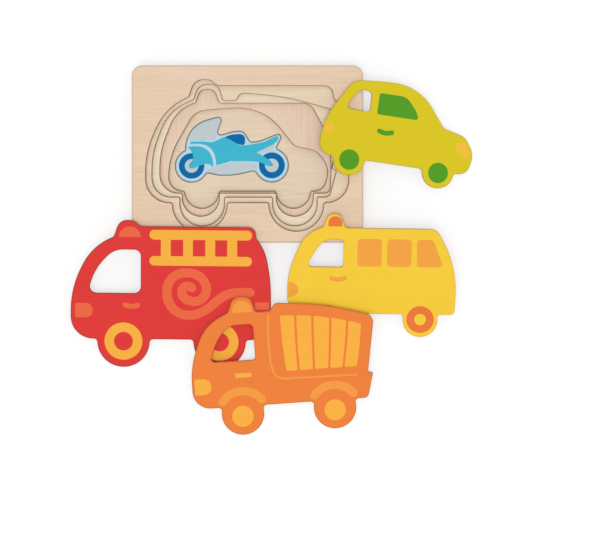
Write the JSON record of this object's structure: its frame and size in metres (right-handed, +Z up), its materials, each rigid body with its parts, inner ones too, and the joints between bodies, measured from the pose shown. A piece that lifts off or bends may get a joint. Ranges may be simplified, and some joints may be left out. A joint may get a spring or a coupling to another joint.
{
  "type": "layered wooden vehicle puzzle",
  "caption": "Flat plywood tray with stacked stepped recesses and loose painted vehicles: the motorcycle lies in its recess, the car, bus, dump truck and fire truck lie around the tray.",
  "frame": {"origin": "middle of the tray's underside, on the table", "axes": "+Z up out of the tray, +X along the tray's length to the right of the picture, +Y to the top of the picture"},
  "size_m": [0.3652, 0.3354, 0.0302],
  "materials": {
    "cream_ply": "bare sanded birch plywood",
    "beige_ply": "bare sanded birch plywood",
    "red_paint": "satin paint on birch plywood",
    "orange_paint": "satin paint on birch plywood",
    "yellow_paint": "satin paint on birch plywood",
    "lime_paint": "satin paint on birch plywood",
    "pale_blue_paint": "satin paint on birch plywood"
  },
  "bodies": {
    "tray": {"base_board": "cream_ply", "motorcycle_plate": "beige_ply", "car_plate": "cream_ply", "bus_plate": "beige_ply", "dump_truck_plate": "cream_ply", "fire_truck_plate": "beige_ply"},
    "motorcycle": {"motorcycle": "pale_blue_paint"},
    "car": {"car": "lime_paint"},
    "bus": {"bus": "yellow_paint"},
    "dump_truck": {"dump_truck": "orange_paint"},
    "fire_truck": {"fire_truck": "red_paint"}
  },
  "joints": [
    {"name": "motorcycle_lift", "type": "slide", "parent": "tray", "child": "motorcycle", "axis": [0, 0, 1], "range_m": [0, 0.05]},
    {"name": "car_lift", "type": "slide", "parent": "tray", "child": "car", "axis": [0, 0, 1], "range_m": [0, 0.05]},
    {"name": "dump_truck_lift", "type": "slide", "parent": "tray", "child": "dump_truck", "axis": [0, 0, 1], "range_m": [0, 0.05]},
    {"name": "fire_truck_slide", "type": "slide", "parent": "tray", "child": "fire_truck", "axis": [-1, 0, 0], "range_m": [0, 0.075]},
    {"name": "bus_slide", "type": "slide", "parent": "tray", "child": "bus", "axis": [1, 0, 0], "range_m": [0, 0.085]}
  ]
}
